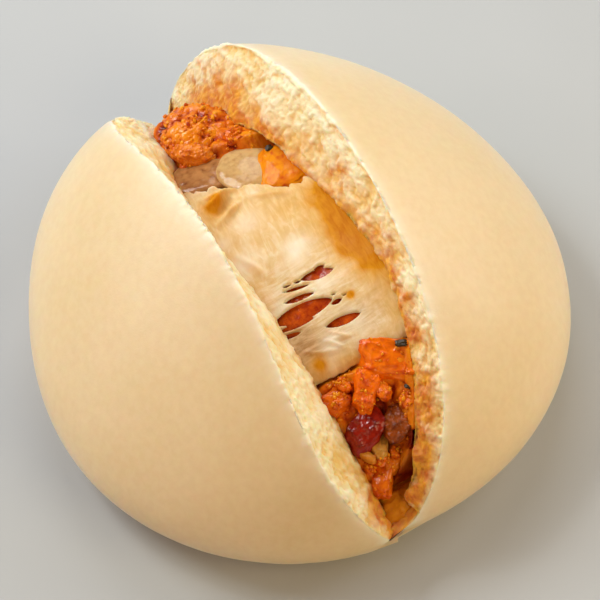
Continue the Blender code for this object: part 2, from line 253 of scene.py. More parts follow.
def curve(v, at, values):
    """A smooth line through a short table: straight between its entries, then averaged over
    a small window so that it has no corners."""
    return np.mean([np.interp(v + d, at, values) for d in np.linspace(-0.08, 0.08, 7)], axis=0)


def foot_height(v):
    """Height of the base at station v: flat, then a quarter ellipse up past the foot."""
    past = np.clip((np.abs(v) - FOOT) / (1 - FOOT), 0, 1)
    return WAIST * (1 - np.sqrt(1 - past**2))


def rim_height(v):
    """Height of the tear's rim at station v: an ellipse from the waist to the top."""
    return WAIST + (HEIGHT - WAIST) * np.sqrt(np.maximum(0, 1 - v * v))


def bulge_at(half, v):
    """How far the torn crumb swells past the tear's plane at station v."""
    grown = np.minimum(1, (rim_height(v) - foot_height(v)) / (20 * MM))
    return curve(v, MOUTH_AT, BULGE[half]) * MM * grown


def pocket(half, v):
    """Floor, middle and mouth heights of the filling's pocket at station v, and its depth:
    ellipses that close towards both ends."""
    low, high = foot_height(v), rim_height(v)
    tall = (high - low) * 0.04
    mouth = curve(v, MOUTH_AT, MOUTH[half]) * MM
    end = np.where(v > 0, POCKET_ENDS[1], POCKET_ENDS[0])
    shut = np.maximum(0, 1 - (v / end) ** 6) ** 0.5
    middle = np.clip(POCKET_FLOOR + 0.45 * (mouth - POCKET_FLOOR), low + 3 * tall, high - 3 * tall)
    top = middle + (mouth - middle) * shut
    floor = middle - (middle - POCKET_FLOOR) * shut
    depth = POCKET_DEPTH * np.maximum(0, 1 - (v / end) ** 2) ** 0.5
    return np.maximum(floor, low + tall), middle, np.minimum(top, high - tall), depth


# %% [markdown]
# ## The dough
# On the real bun a thin satin skin covers an open, cottony crumb, and the tear leaves a
# ragged pale edge where the skin gave way.  Two shells glued together would show a seam, so
# the dough is one closed loft: each ring runs round the base, up the skin of one half, down
# its torn face, through the pocket and up again on the other side.  The rings carry numbers
# that say what is skin, what is torn and how near the rim is, and the relief and the colours
# both use them.

# %% Rings of the dough
STATIONS = 430
BASE_COLUMNS, CORNER_COLUMNS, DOME_COLUMNS, TORN_COLUMNS, POCKET_COLUMNS = 2, 6, 34, 54, 8


def half_rings(half, v):
    """One half's sections at all stations v, from the base round the skin, over the rim,
    down the torn face and round the pocket.  Also 1 where torn, 0 where skin."""
    part = HALVES[half]
    v = v[:, None]
    start = np.arcsin(np.clip((np.abs(v) - FOOT) / (1 - FOOT), 0, 1))
    corner = start + (pi / 2 - start) * np.linspace(0, 1, CORNER_COLUMNS)
    ring = FOOT + (1 - FOOT) * np.sin(corner)
    under = np.sqrt(np.maximum(0, ring**2 - v * v)) * part["reach"]
    base = under[:, :1] * np.linspace(0, 1, BASE_COLUMNS + 2)[1:-1]
    wide = np.sqrt(np.maximum(0, 1 - v * v))
    dome = np.linspace(0, pi / 2, DOME_COLUMNS)[1:]
    over = part["reach"] * wide * np.cos(dome) ** part["dome"]
    floor, middle, mouth, depth = pocket(half, v)
    rim, bulge = rim_height(v), bulge_at(half, v)
    # the steps down the torn face are finer just below the rim, where the skin ends
    down = np.linspace(0, 1, TORN_COLUMNS)[1:] ** 1.25
    drop = (rim - mouth) * down
    under_skin = 0.28 * MM * wide * np.exp(-((drop - 1.2 * MM) / (0.7 * MM)) ** 2)
    face = -bulge * np.sin(down * pi / 2) + under_skin
    turn = np.linspace(0, pi / 2, POCKET_COLUMNS)[1:]
    roof = -bulge + (depth + bulge) * np.sin(turn)
    across = np.concatenate([base, under, over, face, roof, depth * np.cos(turn)], axis=1)
    foot = foot_height(v)
    up = np.concatenate([
        foot + 0 * base,
        WAIST * (1 - np.cos(corner)),
        WAIST + (HEIGHT - WAIST) * wide * np.sin(dome),
        rim - drop,
        middle + (mouth - middle) * np.cos(turn),
        middle - (middle - floor) * np.sin(turn),
    ], axis=1)
    torn = np.zeros(across.shape[1])
    torn[BASE_COLUMNS + CORNER_COLUMNS + DOME_COLUMNS - 1:] = 1
    points = opened(half, across, v * part["length"] + 0 * up, up)
    points[..., 0] = part["side"] * np.maximum(points[..., 0] * part["side"], SEAM)
    return points, torn + 0 * up


steps = np.linspace(-1, 1, STATIONS)
stations = 0.55 * np.sin(steps * pi / 2) + 0.45 * steps
left, torn_left = half_rings("left", stations)
right, torn_right = half_rings("right", stations)
base_line = (left[:, :1] + right[:, :1]) / 2
notch_line = (left[:, -1:] + right[:, -1:]) / 2
notch_line[:, 0, 2] -= NOTCH * np.sqrt(np.maximum(0, 1 - stations**2))
rings = np.concatenate([base_line, right, notch_line, left[:, ::-1]], axis=1)
torn = np.concatenate([torn_right[:, :1] * 0, torn_right, torn_right[:, :1] * 0 + 1,
                       torn_left[:, ::-1]], axis=1)
print("dough grid", rings.shape)

# %% [markdown]
# Torn crumb looks like cotton wool: round clumps about two millimetres across with smaller
# ones on them, over slow waves.  A sculpting brush could raise them by hand.  Here each
# clump is the space around a scattered seed, pushed along the point's own normal, because
# the same numbers then colour the crumb, with painted shade in its pits and painted light on
# its clumps.  The push fades in across the rim, so the skin stays smooth while its edge
# turns ragged.

# %% Crumb relief and ragged rim
normal = facing(rings, around=True)
middle_of_bun = np.array([0, 0, 20 * MM])
outwards = np.sign(np.median(np.sum(normal * (rings - middle_of_bun), -1)[torn < 0.5]))
normal *= outwards

link = np.linalg.norm(np.diff(rings, axis=1, prepend=rings[:, :1]), axis=-1)
arc = np.cumsum(link, axis=1)
RIM_COLUMN = BASE_COLUMNS + CORNER_COLUMNS + DOME_COLUMNS - 1
MOUTH_COLUMN = RIM_COLUMN + TORN_COLUMNS - 1


def way_from(column):
    """Way along each ring to a column of one half, or to its twin on the other."""
    return np.minimum(*[np.abs(arc - arc[:, c:c + 1]) for c in (column, rings.shape[1] - column)])


from_rim, from_mouth = way_from(RIM_COLUMN), way_from(MOUTH_COLUMN)
CRUMB = (
    # how far the layer follows the drift, then its spacing and height in mm, and its seed
    (1.0, 2.3, 0.20, 5), (0.5, 1.0, 0.24, 15), (0.3, 0.62, 0.26, 16),
)
WAVES, FIBRES, RAGGED, RAGGED_SLOW, SKIN_WAVES = 0.42, 0.46, 0.42, 0.35, 0.16   # heights in mm
drift = swirl(rings, 2.4, (3, 4, 6), 0.8)
near_mouth = 1 + 1.4 * np.exp(-from_mouth / (2.5 * MM))
waves = rough_noise(rings, 6 * MM, seed=25, layers=2) * near_mouth
fibres = rough_noise(rings + drift, 1.5 * MM, seed=35, layers=4)
crumb = sum(bumpy(rings + drift * share, [layer]) for share, *layer in CRUMB)
crumb += WAVES * waves + FIBRES * fibres

# the relief dies away towards the two poles, where the rings shrink to a point
room = np.clip(np.sqrt(np.maximum(0, 1 - stations[:, None] ** 2)) / 0.25, 0, 1)
fade = torn * np.clip(from_rim / (0.7 * MM), 0, 1) * room
ragged = rough_noise(rings, 1.3 * MM, seed=45) * RAGGED
ragged += rough_noise(rings, 5 * MM, seed=55) * RAGGED_SLOW
lip = np.exp(-(from_rim / (0.9 * MM)) ** 2) * room
skin_waves = soft_noise(rings, 17 * MM, seed=65) * SKIN_WAVES * (1 - torn) * room
push = crumb * fade + ragged * lip + skin_waves
shape = rings + normal * (push * MM)[..., None]
shape[..., 2] = np.maximum(shape[..., 2], 0)
print("crumb relief mm", round(float(crumb.min()), 2), "to", round(float(crumb.max()), 2))

# %% [markdown]
# The sauce has wetted the crumb where they touch, strongest at the two ends, and the crumb
# just under the skin has stayed white.  Those places are marked with soft round blots,
# broken up by the crumb's own noise so that no blot keeps a round edge.

# %% Stains and the finished dough


def blots(points, spots):
    """Sum of soft round hills; a spot is its place in mm, its radius in mm and strength."""
    total = np.zeros(points.shape[:-1])
    for x, y, z, radius, strength in spots:
        away = np.sum((points - np.array([x, y, z]) * MM) ** 2, axis=-1)
        total += strength * np.exp(-away / (radius * MM) ** 2)
    return total


STAINS = (
    # place and radius in mm, strength
    (1.5, 39, 24, 6, 1), (-0.4, 42.5, 18.5, 5, 0.9), (3.3, 30, 28.5, 4.5, 1),
    (6, 17, 33.5, 3.5, 0.9), (3, 22, 31.5, 3.5, 0.9), (9.5, -29, 31.5, 3.5, 0.9),
    (8, -37, 27, 4.5, 1.1), (4.5, -44, 20, 6, 1.6), (-2.5, -48, 10, 7, 1.8),
    (1, -47.5, 15, 6, 1.4), (-14.1, 20.5, 28.7, 2.6, 0.9), (-9.6, 33, 22.5, 3, 0.5),
    (9.5, 2, 37, 4, 0.35), (11, -14, 36.5, 4, 0.35),
    (9.8, 2.2, 41.6, 1.8, 0.8), (8.1, 11.3, 40.6, 2.2, 0.3), (10.5, -4.5, 40.5, 1.8, 0.35),
    (9.2, -23.6, 35.6, 2.4, 1), (1.7, 39.6, 27.9, 4, 0.7), (3, 33, 31.7, 3, 0.7),
    (3.5, 27.3, 32.9, 2.4, 0.7), (10.6, -10.5, 39, 1.8, 0.35), (9.9, -16.2, 37, 2, 0.7),
    (9.6, -19.6, 36.2, 2, 0.8),
)
local = rings - ORIGIN
splash = np.clip(rough_noise(rings, 2.2 * MM, seed=85) * 2.4 - 0.55, 0, 1)
splash *= local[..., 0] > -4 * MM
wet = 0.8 * np.exp(-from_mouth / (1.2 * MM)) + 0.3 * np.exp(-from_mouth / (4 * MM))
wet += blots(local, STAINS) + 0.45 * splash
wet = np.clip(wet * (0.75 + 0.9 * rough_noise(rings, 2.5 * MM, seed=75)), 0, 1) * torn
wet *= np.clip(from_rim / (3 * MM), 0.15, 1)
dough_marks = {
    "torn": torn * np.clip(from_rim / (0.5 * MM), 0, 1),
    "rim": np.exp(-from_rim / (1.1 * MM)),
    # relief is the crumb's height; the finish paints shade in the pits and light on the clumps from
    # it
    "relief": np.clip(0.5 + crumb * 1.1, 0, 1),
    "wet": wet,
}
dough = build("torn_bun", shape - ORIGIN, grid_faces(STATIONS, rings.shape[1], around=True),
              dough_marks)
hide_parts("dough")

# %% [markdown]
# ## The meat sauce
# The filling is one mass of fine mince in tomato that runs through the bun.  Its top is the
# part that shows: granules about a millimetre across, in lumps a few millimetres across,
# wet all over.  The grid spans the tear from lip to lip, and the same scattered-seed noise
# raises the granules.  Below the cheese it lies lower and smoother.

# %% The filling's top
SAUCE_ENDS = (-43.0 * MM, 41.0 * MM)
SPILL, TIP_DROP = (4.5 * MM, 2.2 * MM, 0.5 * MM), 2.0 * MM
# each hill's place along and across the tear, its height and its spread
HEAP = (37.0 * MM, 0.15, 5.5 * MM, 10.0 * MM)
SAG = (-39.0 * MM, 0.10, -5.0 * MM, 8.0 * MM)
# where each pair stands at the tear's left and right side
CHEESE_NEAR, CHEESE_FAR = (-25.0 * MM, -26.5 * MM), (20.8 * MM, 8.8 * MM)
HOLLOW = (5.2 * MM, 14.5 * MM)   # how far past the cheese the sauce stays low
CHEESE_DROP, CHEESE_EASE = 3.37 * MM, 3.0 * MM
HOLE_RISE, HOLE_SPREAD = 2.45 * MM, 2.0 * MM   # the sauce wells up under the cheese's holes


def hill(at, u, y):
    """Soft hill of the top: a bell along and across, from its place, height and spread."""
    along, across, height, spread = at
    return height * np.exp(-(((y - along) / spread) ** 2) - ((u - across) / 0.9) ** 2)


def mouth_point(half, y, inset):
    """The pocket's lip on one half, at y once the half is open, inset into the tear."""
    part = HALVES[half]
    v = (y - part["slide"]) / part["length"]
    across = -bulge_at(half, v) - 0.6 * inset
    return opened(half, across, v * part["length"], pocket(half, v)[2] - inset)


def filling_top(y, u, inset):
    """Straight line from lip to lip at y, u running from -1 to 1, plus the two hills."""
    a, b = mouth_point("left", y, inset), mouth_point("right", y, inset)
    point = a + (b - a) * ((u + 1) / 2)[..., None]
    point[..., 2] += (1 - u * u) * (hill(HEAP, u, y) + hill(SAG, u, y))
    return point


def cheese_span(u):
    """Where the cheese's near and far edges lie at u."""
    share = (u + 1) / 2
    return [side[0] + (side[1] - side[0]) * share for side in (CHEESE_NEAR, CHEESE_FAR)]


def under_cheese(y, u, beyond=0.0):
    """1 where the cheese lies, easing to 0 just past its two ends; beyond is how far past
    the far end it stays 1."""
    low, high = cheese_span(u)
    high = high + beyond
    return np.clip(np.minimum((y - low) / CHEESE_EASE, (high - y) / CHEESE_EASE) + 0.5, 0, 1)


HOLES = (
    # place along x and y, length and width, all in mm, and direction in degrees
    (0.37, -9.56, 1.9, 0.74, -13), (-0.56, -10.54, 5.9, 1.9, -15), (-4.04, -9.86, 1.15, 0.46, -18),
    (-5.86, -9.48, 1.5, 0.35, -14), (-4.69, -10.82, 4.6, 0.65, -17), (-4.96, -12.68, 5.4, 1.1, -13),
    (-5.54, -15.22, 11, 3.2, -9), (0.27, -16.87, 2.1, 0.85, -4), (-0.02, -20.28, 6.3, 1.6, -9),
    (-7.65, -16.69, 7.1, 0.95, -10), (-8.98, -17.79, 3.8, 0.9, -12),
    (0.35, -15.49, 0.8, 0.24, -13), (1.91, -16.63, 0.8, 0.24, -13),
)


def outside_hole(x, y, hole):
    """Distance outside a lens: its half width falls as a parabola towards its two tips."""
    cx, cy, length, width, angle = hole
    c, s = cos(radians(angle)), sin(radians(angle))
    a = (x / MM - cx) * c + (y / MM - cy) * s
    b = -(x / MM - cx) * s + (y / MM - cy) * c
    part = np.clip(1 - (2 * a / length) ** 2, 0, 1)
    beyond = np.maximum(np.abs(a) - length / 2, 0)
    beside = np.abs(b) - width / 2 * part**0.8
    return (np.hypot(np.maximum(beside, 0), beyond)
            + np.minimum(beside, 0) * (beyond == 0)) * MM


def outside_holes(x, y):
    """Distance to the nearest hole."""
    return np.minimum.reduce([outside_hole(x, y, hole) for hole in HOLES])


ROWS, TOP_COLUMNS, SIDE_COLUMNS = 400, 110, 9
t = np.linspace(-1, 1, ROWS)
clear = 0.15 * MM + 1.6 * MM * np.abs(t) ** 8   # room between the sauce and its pocket
y_rows = sum(SAUCE_ENDS) / 2 + (SAUCE_ENDS[1] - SAUCE_ENDS[0]) / 2 * np.sin(t * pi / 2)
u_columns = np.linspace(-1, 1, TOP_COLUMNS)
yy, uu = np.meshgrid(y_rows, u_columns, indexing="ij")
top = filling_top(yy, uu, clear[:, None] + 0 * uu)
covered = under_cheese(yy, uu)
hole_gap = outside_holes(top[..., 0] - ORIGIN[0], top[..., 1] - ORIGIN[1])
rising = HOLE_RISE * np.exp(-(np.maximum(hole_gap, 0) / HOLE_SPREAD) ** 2)
beyond = HOLLOW[0] + (HOLLOW[1] - HOLLOW[0]) * (uu + 1) / 2
lowered = under_cheese(yy, uu, beyond)
top[..., 2] -= lowered * CHEESE_DROP - covered * rising

sides = {}
turn = np.linspace(0, pi / 2, SIDE_COLUMNS)
for half, u in (("left", -1.0), ("right", 1.0)):
    part = HALVES[half]
    v = ((y_rows - part["slide"]) / part["length"])[:, None]
    floor, middle, mouth, depth = pocket(half, v)
    c = clear[:, None]
    reach = np.maximum(0, depth * 0.95 - 2 * c) * (1 - 0.7 * np.maximum(0, t[:, None]) ** 6)
    begin = -bulge_at(half, v)
    roof_top = mouth - c - under_cheese(y_rows, u, HOLLOW[int(u > 0)])[:, None] * CHEESE_DROP
    roof_x = begin + (reach - begin) * np.sin(turn)
    roof_z = middle + (np.maximum(0, roof_top - middle) - 0.3 * c) * np.cos(turn)
    floor_x = reach * np.cos(turn) + 0.42 * MM
    floor_z = middle - np.maximum(0, middle - floor - 1.3 * c) * np.sin(turn)
    along = v * part["length"] + 0 * roof_x
    sides[half] = (opened(half, roof_x, along, roof_z)[:, 1:],
                   opened(half, floor_x, along, floor_z)[:, 1:])
sauce_rings = np.concatenate([top, *sides["right"], sides["left"][1][:, ::-1],
                              sides["left"][0][:, ::-1]], axis=1)
centre = top.mean(axis=1, keepdims=True) - np.array([0, 0, TIP_DROP])
close = (np.minimum(1, (1 - np.abs(t)) / 0.16) ** 0.5)[:, None]
ahead = np.maximum(0, t)[:, None]
shrink = np.stack([close * (1 - 0.55 * ahead**10), close, close], -1)
spill = np.stack([SPILL[2] * ahead**10, SPILL[0] * ahead**40, SPILL[1] * ahead**12], -1)
sauce_rings = centre + (sauce_rings - centre) * shrink + spill

# %% [markdown]
# Mince is lumpy at three sizes, and the sauce binds it, so a lump's foot is a sharp crease
# and its top is round.  The bumps stand on the grid's normals, only where the top shows.

# %% Granules of the mince
MINCE = ((4.6, 0.9, 105), (1.9, 0.5, 115), (0.9, 0.2, 125))   # spacing, height in mm, seed


def over_top(values):
    """A number for every point of the rings: these values on the top, 0 on the sides."""
    numbers = np.zeros(sauce_rings.shape[:2])
    numbers[:, :TOP_COLUMNS] = values
    return numbers


on_top, open_top = over_top(1), over_top(1 - covered)
mince = bumpy(sauce_rings + swirl(sauce_rings, 2.0, (101, 102, 103), 0.7), MINCE)
calm = 0.25 * rough_noise(sauce_rings, 3.2 * MM, seed=135)
edge_calm = over_top(np.clip((1 - np.abs(uu)) / 0.10, 0.35, 1))
lift = (mince * open_top + calm * (on_top - open_top)) * edge_calm * close
sauce_normal = facing(sauce_rings, around=True)
sauce_normal *= np.sign(np.median(sauce_normal[:, :TOP_COLUMNS, 2]))
sauce_shape = sauce_rings + sauce_normal * (lift * MM)[..., None]
PAINTED_SHADE_SPOTS = (
    # painted shade in the deep places, where the sauce is darkest: place and radius in mm, strength
    (0.7, -43.8, 15.2, 3.4, 1.2), (4, -42, 19, 3.2, 1), (2.6, -37, 24, 2.6, 0.7),
    (6.5, -34.5, 26.5, 1.8, 0.9), (-3.6, -37.5, 21, 3.2, 0.6), (-6.8, 25.4, 28.4, 1.5, 1),
    (-4.6, 24.4, 28.6, 1.3, 0.8), (3, 22, 30, 2.6, 0.7),
)
# relief and the deep-place spots become painted light and shade in the sauce's finish
sauce_marks = {
    "relief": np.clip(0.5 + mince * 0.6, 0, 1),
    "covered": on_top - open_top,
    "painted_shade": np.clip(blots(sauce_shape - ORIGIN, PAINTED_SHADE_SPOTS), 0, 1),
}
sauce = build("mince_in_tomato", sauce_shape - ORIGIN,
              grid_faces(ROWS, sauce_rings.shape[1], around=True), sauce_marks)
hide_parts("meat_sauce")

# %% [markdown]
# ## The melted cheese
# Pulling the bun open has stretched the cheese across the tear until it split into long
# lens-shaped holes with thin strands between them.  The sheet is a grid with thickness, and
# each hole is a formula: how far a point is outside the lens.  Points close to a hole's edge
# slide on to it, the sheet thins towards it, the faces inside go and a thin wall of faces
# joins the sheet's two sides.

# %% Cheese
FOLDS = (
    # from and to, along x and y, then height and width, all in mm
    (-12.5, 7.4, -5.6, 10.6, 1.3, 0.8), (-11.5, 9.6, -6.5, 12.4, -1.3, 1.2),
    (-12.6, 12.2, -6.2, 14.2, 0.9, 0.6), (-4.6, 10.6, 2.4, 6.6, 0.5, 0.7),
    (-9, 14.5, -3, 13, 0.7, 0.8), (-3, 12.6, 5.5, 9, 0.5, 0.8),
    (-12, 16.5, -6, 15.5, 0.6, 0.6), (-12.5, 18.2, -7, 17.6, 0.6, 0.5),
    (-11.8, 14.6, -7, 13.4, 0.5, 0.5), (-4.8, -21.6, -1.6, -24.8, 0.5, 0.4),
    (-3.2, -20.8, -0.4, -23.6, 0.4, 0.35), (-8.4, -21.6, -5.2, -24.2, 0.4, 0.4),
    (-7, -23, -1.5, -25, 0.4, 0.5),
    (-4.5, -22, 0.5, -23.6, 0.4, 0.5), (-11.5, 1, -8, -6.5, 0.6, 0.7),
)


def folds(points):
    """Soft ridges and furrows along short straight lines: a bell across each line that
    fades past its ends."""
    total = np.zeros(points.shape[:-1])
    for x0, y0, x1, y1, height, width in FOLDS:
        start, run = np.array([x0, y0]), np.array([x1 - x0, y1 - y0])
        place = points[..., :2] / MM - start
        share = np.clip(place @ run / (run @ run), 0, 1)
        away = np.linalg.norm(place - share[..., None] * run, axis=-1)
        fading = np.sin(pi * np.clip(share, 0.06, 0.94))
        total += height * MM * np.exp(-(away / width) ** 2) * fading
    return total


CHEESE_ROWS, CHEESE_COLUMNS = 300, 160
HALF_WIDE, STEP, SNAP = 11 * MM, 0.02 * MM, 0.10 * MM
NEAR_RAGGED, FAR_RAGGED = 1.1, 3.0   # how far the two ends wander, in mm
END_BEAD, SIDE_BEAD, HOLE_BEAD = 0.9 * MM, 0.3 * MM, 0.25 * MM   # widths of the rounded borders
EDGE_THICK, THIN, EXTRA = 0.08 * MM, 0.45, 1.9   # at an edge, near one, and what the middle adds
t = np.linspace(-1, 1, CHEESE_ROWS)
u = np.linspace(-1, 1, CHEESE_COLUMNS)
tt, uu = np.meshgrid(t, u, indexing="ij")
low, high = cheese_span(uu)
row_noise = np.stack([uu * HALF_WIDE, 0 * uu, 0 * uu + 5 * MM], -1)
low = low + rough_noise(row_noise, 5 * MM, seed=201) * NEAR_RAGGED * MM
high = high + rough_noise(row_noise, 3.4 * MM, seed=202, layers=4) * FAR_RAGGED * MM
yy = (low + high) / 2 + (high - low) / 2 * (0.35 * np.sin(tt * pi / 2) + 0.65 * tt)
sheet = filling_top(yy, uu, -0.5 * MM + 0 * uu) - ORIGIN
gap = outside_holes(sheet[..., 0], sheet[..., 1])
slope_x = (outside_holes(sheet[..., 0] + STEP, sheet[..., 1]) - gap) / STEP
slope_y = (outside_holes(sheet[..., 0], sheet[..., 1] + STEP) - gap) / STEP
near = np.abs(gap) < SNAP
sheet[..., 0] -= np.where(near, gap * slope_x, 0)
sheet[..., 1] -= np.where(near, gap * slope_y, 0)
gap = np.where(near, 0, gap)

to_end = (1 - np.abs(tt)) * (high - low) / 2
to_side = (1 - np.abs(uu)) * HALF_WIDE
bead = np.sqrt(np.clip(to_end / END_BEAD, 0, 1)) * np.sqrt(np.clip(to_side / SIDE_BEAD, 0, 1))
lip_edge = np.sqrt(np.clip(gap / HOLE_BEAD, 0, 1))
stretch = np.clip(gap / (6 * MM), 0, 1)
thick = (THIN + EXTRA * stretch * np.clip(to_end / (5 * MM), 0.25, 1)) * MM * bead * lip_edge
thick = np.maximum(thick, EDGE_THICK)
slanted = sheet[..., 1] + sheet[..., 0] * 0.2
streaks = np.stack([sheet[..., 0] * 0.25, slanted, sheet[..., 2] * 0], -1)
relief = (rough_noise(sheet, 8 * MM, seed=205, layers=2) * 0.30 * MM
          + rough_noise(streaks, 1.5 * MM, seed=206, layers=2) * 0.04 * MM + folds(sheet))
sink = 0.8 * MM * (1 - np.clip(to_end / (3 * MM), 0, 1)) ** 2 + 0.5 * MM * (1 - stretch)
upper, lower = sheet.copy(), sheet.copy()
height = sheet[..., 2] - sink + relief * bead
upper[..., 2] = height - (THIN * MM - THIN * MM * bead * lip_edge)
lower[..., 2] = upper[..., 2] - thick
faces = grid_faces(CHEESE_ROWS, CHEESE_COLUMNS)
solid = (gap.ravel()[faces].mean(axis=1) > 0).reshape(CHEESE_ROWS - 1, CHEESE_COLUMNS - 1)
# where two cells touch at one corner only, the other two are filled as well
for again in range(3):
    corner = solid[:-1, :-1] == solid[1:, 1:]
    corner &= (solid[:-1, 1:] == solid[1:, :-1]) & (solid[:-1, :-1] != solid[:-1, 1:])
    for i, j in np.ndindex(2, 2):
        solid[i:CHEESE_ROWS - 2 + i, j:CHEESE_COLUMNS - 2 + j] |= corner
kept = faces[solid.ravel()]
count = CHEESE_ROWS * CHEESE_COLUMNS
# an edge that no neighbour walks the other way is a border, and gets a wall
start, end = kept.ravel(), np.roll(kept, -1, axis=1).ravel()
rim_edge = ~np.isin(end * count + start, start * count + end)
walls = np.stack([end, start, start + count, end + count], -1)[rim_edge]
both = np.concatenate([kept, kept[:, ::-1] + count, walls])
cheese_points = np.concatenate([upper.reshape(-1, 3), lower.reshape(-1, 3)])
SPOTS = {
    # place and radius in mm, strength
    # gold: cheese dyed by oil, and along the right edge painted shade under the crumb wall
    "oil_gold_and_shade": ((8.6, -5, 35.6, 4.4, 0.9), (8.6, -10, 35.4, 4.2, 1.1), (10, -14, 35.8, 3.4, 0.7),
             (8.4, 0.5, 35.2, 4.2, 0.8), (11, -19.5, 35, 2.6, 0.5), (10, -24.5, 33, 2.4, 0.5),
             (7.4, 5.5, 34.4, 3, 0.5), (-10.8, 11.9, 29.3, 2.2, 0.9), (-9, 13.2, 29, 1.8, 0.7),
             (2.9, -17.2, 33.1, 0.9, 1), (-6.5, -24.8, 26.6, 1.6, 0.7), (-3, -26.2, 27, 1.6, 0.6),
             (-5.8, 10.3, 31, 5, 0.20), (1, 5.5, 33, 4.5, 0.22), (-11.5, 6, 29, 3, 0.15),
             (0, -26.8, 28, 1.6, 0.4), (3, -8, 33, 4, 0.12), (5, 2, 34, 4, 0.25),
             (8, -18, 34, 5, 0.22)),
    # grey: painted shade, darker brownish patches
    "cheese_shade": ((-6.5, -21, 27.3, 4, 0.9), (-3, -24, 27.6, 2.6, 0.5), (-11, 17.5, 27, 3, 0.5),
             (4, -22, 31, 5, 0.4), (-9.5, -17.5, 27.5, 3, 0.5)),
    # white: pale pulled cheese round the holes, partly painted glints
    "pale_and_glint": ((-1.6, -4.5, 32.6, 2.6, 0.9), (-0.5, -13, 32, 2.2, 0.5), (3.5, -12.5, 33.4, 2, 0.3),
              (-8, -13, 29.5, 2, 0.6), (-10.5, -2, 29, 2.4, 0.9), (-3.2, -22.6, 28, 1.8, 1),
              (-12, 4, 29, 1.6, 0.8), (-6.5, 6, 31, 3, 0.5), (1.5, -21, 30.5, 3, 0.6),
              (-9.5, 16.5, 28.5, 2.2, 0.6), (-4, -26.2, 27, 1.5, 0.8)),
}
uneven = 1.0 + 0.5 * rough_noise(sheet, 3 * MM, 210)
cheese_marks = {key: np.tile(np.clip(blots(sheet, spots) * uneven, 0, 1).ravel(), 2)
                for key, spots in SPOTS.items()}
cheese_marks["thin"] = np.tile(1 - stretch.ravel(), 2)
cheese = build("melted_cheese", cheese_points, both, cheese_marks, merge=None)
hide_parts("cheese")

# %% [markdown]
# ## Pieces in the sauce
# Cut tomato, onion, carrot and lumps of meat lie on the filling.  Each is a rounded block,
# softened by cooking: two angles sweep a ball whose corners are squared off by a power, and
# noise then dents it.

# %% Cut pieces
NIB_DEPTH = 2.2   # how far the bumps push a piece's skin, for each unit of its grain


def ball_grid(rows, columns):
    """Angle round, angle up and unit ball point for every cell of a pole-to-pole grid."""
    around = np.linspace(0, 2 * pi, columns, endpoint=False)
    bb, aa = np.meshgrid(np.linspace(-pi / 2, pi / 2, rows), around, indexing="ij")
    return aa, bb, np.stack([np.cos(aa) * np.cos(bb), np.sin(aa) * np.cos(bb), np.sin(bb)], -1)


def chunk(name, node, turn, squareness, dent, seed, tilt, grain, spot=None, size=None,
          rows=60, columns=90):
    """Rounded block: sine and cosine raised to a power below one square its sides, slow
    noise dents it, fine noise roughens it.  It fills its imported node's box unless it has a
    place and size of its own, in mm."""
    aa, bb, ball = ball_grid(rows, columns)
    ring = np.cos(bb)
    ring[[0, -1]] = 0   # each pole is one exact point, so that it merges

    def squared(value):
        return np.sign(value) * np.abs(value) ** squareness

    ball = np.stack([squared(np.cos(aa)) * squared(ring), squared(np.sin(aa)) * squared(ring),
                     squared(np.sin(bb))], -1)
    ball *= 1 + dent * rough_noise(ball, 0.9, seed)[..., None]
    c, s = cos(radians(turn)), sin(radians(turn))
    x, y = ball[..., 0] * c - ball[..., 1] * s, ball[..., 0] * s + ball[..., 1] * c
    ball = np.stack([x, y, ball[..., 2] + tilt[0] * x + tilt[1] * y], -1)
    if spot is None:
        low, high = [np.array(corner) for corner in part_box(node)]
        least, most = ball.min(axis=(0, 1)), ball.max(axis=(0, 1))
        points = low + (ball - least) / (most - least) * (high - low)
    else:
        long, wide, tall = np.array(size) / 2
        x, y = x * c + y * s, y * c - x * s
        x, y = x * long * c - y * wide * s, x * long * s + y * wide * c
        z = ball[..., 2] * tall + (tilt[0] * x + tilt[1] * y) * 0.5
        points = (np.array(spot) + np.stack([x, y, z], -1)) * MM
    rise = bumpy(points, ((1.2, 0.6, seed), (0.6, 0.4, seed + 50)))
    points = points + facing(points, around=True) * (-NIB_DEPTH * grain * rise * MM)[..., None]
    points[..., 2] = np.maximum(points[..., 2], 0)
    piece = build(name, points, grid_faces(rows, columns, around=True),
                  {"relief": np.clip(0.6 + rise, 0, 1)})
    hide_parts(node)
    return piece


